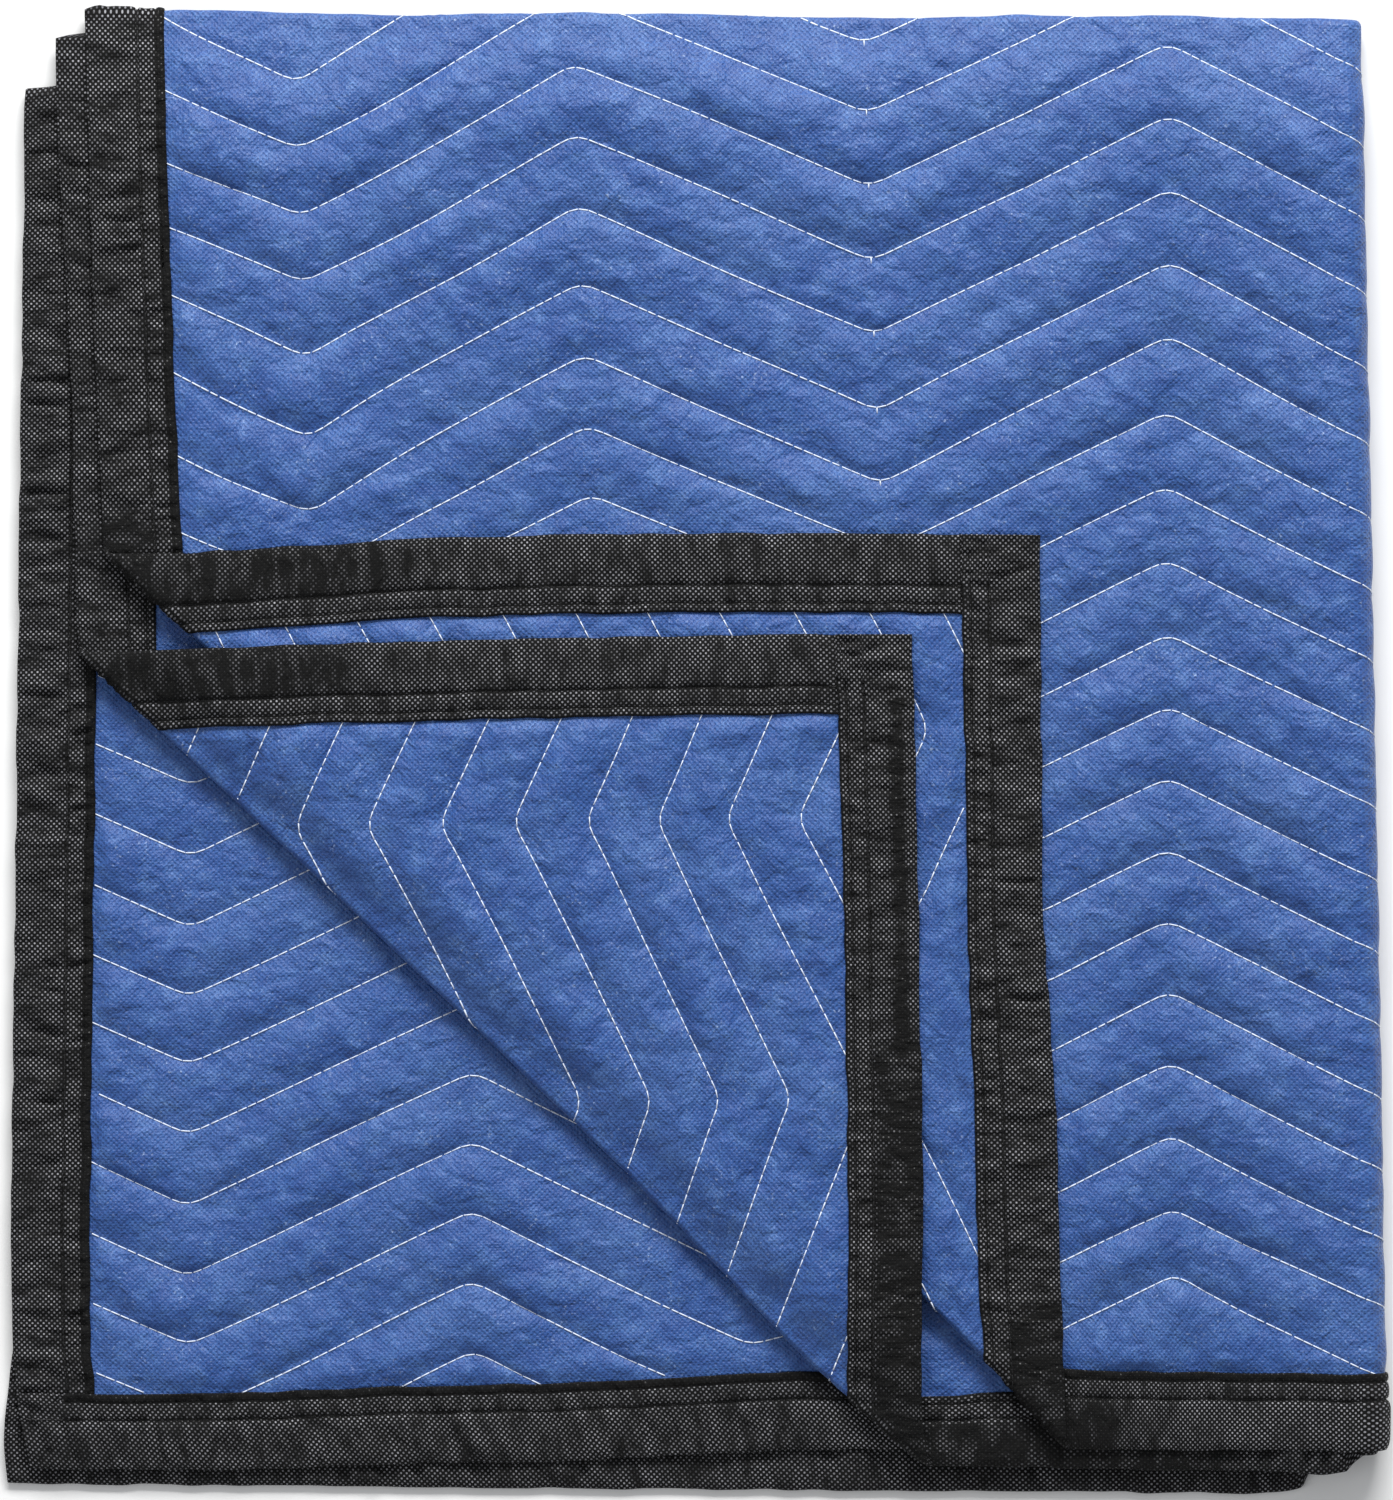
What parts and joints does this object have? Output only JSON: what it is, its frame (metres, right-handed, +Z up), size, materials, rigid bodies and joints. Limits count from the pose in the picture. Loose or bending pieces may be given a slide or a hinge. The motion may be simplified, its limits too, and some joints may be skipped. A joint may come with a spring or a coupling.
{
  "type": "folded moving blanket",
  "caption": "Quilted padded moving blanket folded in quarters, with two corners turned back, bound edges and zigzag quilting, for wrapping furniture.",
  "frame": {"origin": "on the supporting surface, under the middle of the folded blanket's bounding box", "axes": "+X towards the side fold, +Y towards the end fold, +Z up out of the stack"},
  "size_m": [0.9768, 1.0568, 0.0404],
  "materials": {
    "cover_cloth": "blue spunbond nonwoven, point-bonded, faintly mottled, matt",
    "binding_cloth": "black spunbond nonwoven with a fine lattice of bonding dots, faint sheen"
  },
  "bodies": {
    "root": {"quilted_panel": "cover_cloth", "side_binding_top": "binding_cloth", "side_binding_base": "binding_cloth", "end_binding_outer": "binding_cloth", "end_binding_inner": "binding_cloth"}
  },
  "joints": []
}
